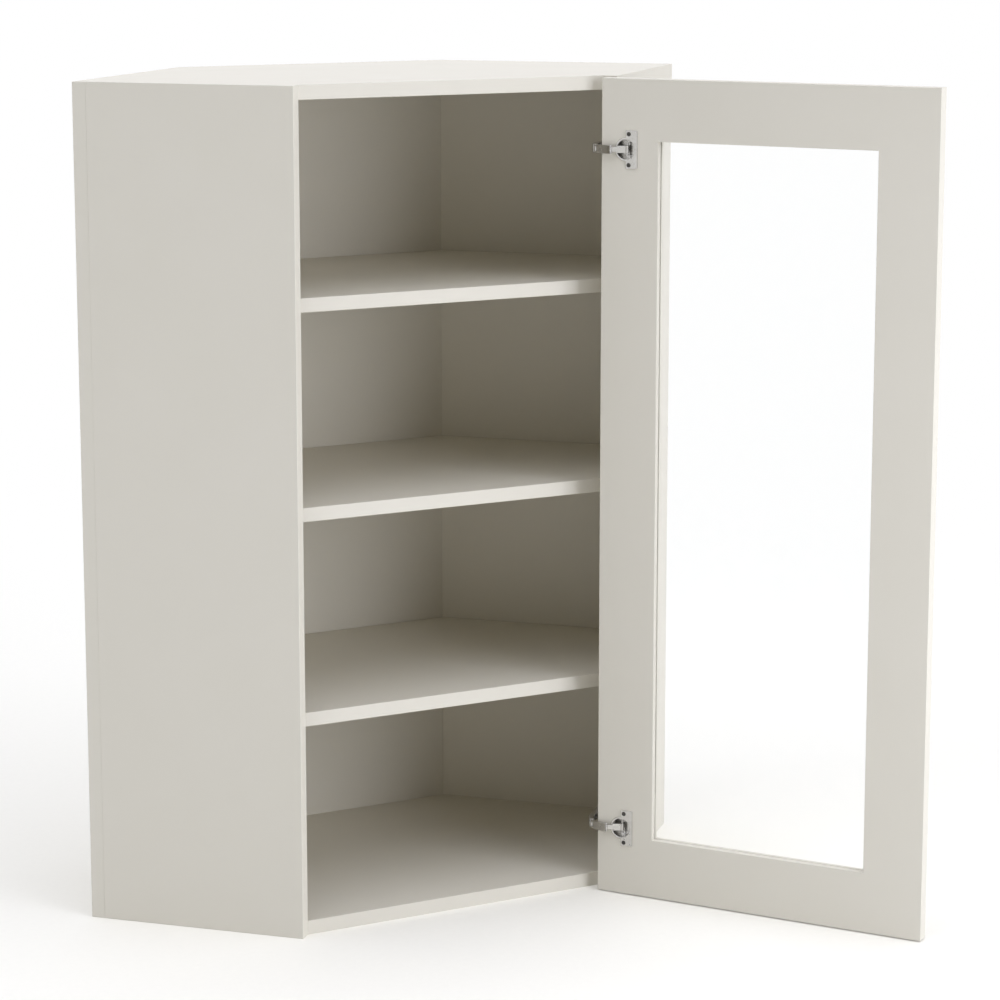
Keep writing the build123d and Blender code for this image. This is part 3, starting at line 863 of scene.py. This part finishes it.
pin_thick = 5.0 * MM
pin_end_rise = 1.0 * MM         # of the rounded end
pin_facet = radians(50)
turned_pin, given = new_fitting_tree("turned_shelf_pin", ("Radius", "Length", "Round End"))
rod = add_node(
    turned_pin,
    "GeometryNodeMeshCylinder",
    {"Vertices": 24, "Radius": given["Radius"], "Depth": given["Length"]},
)
half_back = add_node(
    turned_pin, "ShaderNodeMath", {0: given["Length"], 1: -0.5}, operation="MULTIPLY"
)
rod_back = add_node(
    turned_pin,
    "ShaderNodeMath",
    {0: half_back.outputs[0], 1: given["Round End"]},
    operation="SUBTRACT",
)
rod_offset = add_node(turned_pin, "ShaderNodeCombineXYZ", {"Z": rod_back.outputs[0]})
set_rod = add_node(
    turned_pin,
    "GeometryNodeTransform",
    {"Geometry": rod.outputs["Mesh"], "Translation": rod_offset.outputs["Vector"]},
)
end_ball = add_node(
    turned_pin,
    "GeometryNodeMeshUVSphere",
    {"Segments": 24, "Rings": 12, "Radius": given["Radius"]},
)
end_low = add_node(
    turned_pin,
    "ShaderNodeMath",
    {0: given["Round End"], 1: given["Radius"]},
    operation="DIVIDE",
)
end_shape = add_node(
    turned_pin, "ShaderNodeCombineXYZ", {"X": 1.0, "Y": 1.0, "Z": end_low.outputs[0]}
)
end_back = add_node(
    turned_pin, "ShaderNodeMath", {0: given["Round End"], 1: -1.0}, operation="MULTIPLY"
)
end_offset = add_node(turned_pin, "ShaderNodeCombineXYZ", {"Z": end_back.outputs[0]})
round_end = add_node(
    turned_pin,
    "GeometryNodeTransform",
    {
        "Geometry": end_ball.outputs["Mesh"],
        "Translation": end_offset.outputs["Vector"],
        "Scale": end_shape.outputs["Vector"],
    },
)
whole_pin = add_node(
    turned_pin, "GeometryNodeJoinGeometry", {"Geometry": set_rod.outputs["Geometry"]}
)
turned_pin.links.new(round_end.outputs["Geometry"], whole_pin.inputs["Geometry"])
set_out_and_finish(turned_pin, given, whole_pin.outputs["Geometry"])


def pin_end(solid):
    """The inner end of a shelf pin, the way that it faces, and its length."""
    middle = sum(solid, Vector()) / len(solid)
    reach = max((point - middle for point in solid), key=lambda offset: offset.length)
    ends = []
    for side in (1, -1):
        rim = [point for point in solid if side * (point - middle).dot(reach) > 0]
        ends.append(sum(rim, Vector()) / len(rim))
    ends.sort(key=lambda end: Vector((end.x, end.y)).length)
    return ends[0], (ends[0] - ends[1]).normalized(), (ends[0] - ends[1]).length


pin_ends = [pin_end(solid) for solid in solids_of("shelf_pins")]
turned_pins = made_fittings(
    "shelf_pins_turned",
    [(end, way) for end, way, _ in pin_ends],
    turned_pin,
    {
        "Radius": pin_thick / 2,
        "Length": pin_ends[0][2] - pin_end_rise,
        "Round End": pin_end_rise,
        "Finish": nickel_plate,
    },
    pin_facet,
)
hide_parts("shelf_pins")
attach(turned_pins, "cabinet")

# ------------------------------------------------------------------ studio
# A sheet of white paper under the cabinet and white all round, with soft light from above, from
# both sides and from the front right. The camera stands some four metres off, to the left of the
# doorway and a little higher than the cabinet's top.

paper_half = 60.0
shadow_share = 0.85             # of the paper's brightness near the cabinet that the lamps give
fade_start = 0.9                # from the cabinet's origin: where the paper starts to fade
fade_end = 3.5                  # and where it is plain white
room_light = 0.14               # of the white all round, on whatever doesn't look at it

# Matt white paper, which the lens sees without shine. Its tooth of a quarter of a millimetre is
# too fine to show, so it is drawn as faint clouds 8 mm across.
white_paper, sheet = new_material("matt_white_paper")
sheet_place = add_node(sheet, "ShaderNodeTexCoord", {}).outputs["Object"]
from_cabinet = add_node(
    sheet, "ShaderNodeVectorMath", {0: sheet_place}, operation="LENGTH"
)
fade = add_node(
    sheet,
    "ShaderNodeMapRange",
    {
        "Value": from_cabinet.outputs["Value"],
        "From Min": fade_start,
        "From Max": fade_end,
        "To Min": 1 - shadow_share,
        "To Max": 1.0,
    },
    interpolation_type="SMOOTHSTEP",
)
paper_tooth = add_node(
    sheet, "ShaderNodeTexNoise", {"Vector": sheet_place, "Scale": 1 / (8 * MM), "Detail": 2.0}
)
paper_tone = add_node(
    sheet,
    "ShaderNodeMix",
    {0: paper_tooth.outputs["Fac"], 6: linear("FAF6EA"), 7: linear("F6F2E6")},
    data_type="RGBA",
)
lit_paper = add_node(sheet, "ShaderNodeBsdfDiffuse", {"Color": paper_tone.outputs[2]})
white_out = add_node(sheet, "ShaderNodeEmission", {"Strength": 1.0})
seen_paper = add_node(
    sheet,
    "ShaderNodeMixShader",
    {0: fade.outputs["Result"], 1: lit_paper.outputs["BSDF"], 2: white_out.outputs["Emission"]},
)
bounce = add_node(sheet, "ShaderNodeBsdfDiffuse", {"Color": linear("E9E8E2")})
sheet_ray = add_node(sheet, "ShaderNodeLightPath", {})
mirrored_ray = add_node(
    sheet,
    "ShaderNodeMath",
    {0: sheet_ray.outputs["Is Glossy Ray"], 1: sheet_ray.outputs["Is Transmission Ray"]},
    operation="MAXIMUM",
)
looked_at = add_node(
    sheet,
    "ShaderNodeMath",
    {0: sheet_ray.outputs["Is Camera Ray"], 1: mirrored_ray.outputs[0]},
    operation="MAXIMUM",
)
paper_surface = add_node(
    sheet,
    "ShaderNodeMixShader",
    {0: looked_at.outputs[0], 1: bounce.outputs["BSDF"], 2: seen_paper.outputs["Shader"]},
)
add_node(sheet, "ShaderNodeOutputMaterial", {"Surface": paper_surface.outputs["Shader"]})

paper_shape = bmesh.new()
bmesh.ops.create_grid(paper_shape, x_segments=1, y_segments=1, size=paper_half)
paper = finished_piece("studio_paper", paper_shape, white_paper)
paper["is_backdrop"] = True

world = bpy.data.worlds.new("white_studio")
bpy.context.scene.world = world
world.use_nodes = True
world.node_tree.nodes.clear()
room = world.node_tree
room_ray = add_node(room, "ShaderNodeLightPath", {})
room_mirrored = add_node(
    room,
    "ShaderNodeMath",
    {0: room_ray.outputs["Is Glossy Ray"], 1: room_ray.outputs["Is Transmission Ray"]},
    operation="MAXIMUM",
)
room_seen = add_node(
    room,
    "ShaderNodeMath",
    {0: room_ray.outputs["Is Camera Ray"], 1: room_mirrored.outputs[0]},
    operation="MAXIMUM",
)
room_strength = add_node(
    room,
    "ShaderNodeMapRange",
    {"Value": room_seen.outputs[0], "To Min": room_light, "To Max": 1.0},
)
room_white = add_node(
    room,
    "ShaderNodeBackground",
    {"Color": (1.0, 1.0, 1.0, 1.0), "Strength": room_strength.outputs["Result"]},
)
add_node(room, "ShaderNodeOutputWorld", {"Surface": room_white.outputs["Background"]})

daylight = (0.962, 1.0, 1.14)    # cooler than the paint, so that lit paint reads light grey
# Each soft lamp's way, its level on white paper that faces it, and its width in degrees.
sky_boxes = (
    ("top_light", (0.0, 0.0, 1.0), 0.77, 90),
    ("front_light", (0.408, -0.875, 0.259), 0.29, 40),
    ("right_light", (0.85, -0.2, 0.48), 0.10, 60),
    ("left_light", (-0.82, -0.05, 0.57), 0.11, 30),
)
for name, way, level, spread in sky_boxes:
    lamp = bpy.data.lights.new(name, "SUN")
    lamp.energy = level * pi
    lamp.color = daylight
    lamp.angle = radians(spread)
    light = bpy.data.objects.new(name, lamp)
    light.rotation_euler = Vector(way).to_track_quat("Z", "Y").to_euler()
    bpy.context.scene.collection.objects.link(light)

cabinet_middle = (cad_box[0] + cad_box[1]) / 2
near_way = Vector((0.42, -0.905, 0.07))
near_distance = 1.6
near_level = 0.25                # on white paper in the middle of the cabinet that faces it
near_lamp = bpy.data.lights.new("near_softbox", "AREA")
near_lamp.size = 1.0
near_lamp.energy = near_level * (pi * near_distance) ** 2
near_lamp.color = daylight
near_softbox = bpy.data.objects.new("near_softbox", near_lamp)
near_softbox.location = cabinet_middle + near_distance * near_way
near_softbox.rotation_euler = near_way.to_track_quat("Z", "Y").to_euler()
near_softbox.visible_camera = False
# Its hard edges would show in the glass of the shut door, and through it.
near_softbox.visible_glossy = False
near_softbox.visible_transmission = False
bpy.context.scene.collection.objects.link(near_softbox)

looks_down = radians(10.096)
looks_right = radians(27.892)    # of straight at the doorway
lens = bpy.data.cameras.new("camera")
lens.sensor_width = 36.0
lens.lens = 109.02
lens.shift_y = -0.065
lens.clip_end = 200.0
camera = bpy.data.objects.new("camera", lens)
camera.location = (-1.7046, -3.5462, 1.2902)
camera.rotation_euler = (pi / 2 - looks_down, 0.0, -looks_right)
bpy.context.scene.collection.objects.link(camera)
bpy.context.scene.camera = camera
bpy.context.scene.view_settings.view_transform = "Standard"

bpy.context.view_layer.update()
sizes = {
    "cad": [list(corner) for corner in cad_box],
    "visual": [list(corner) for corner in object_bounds()],
}
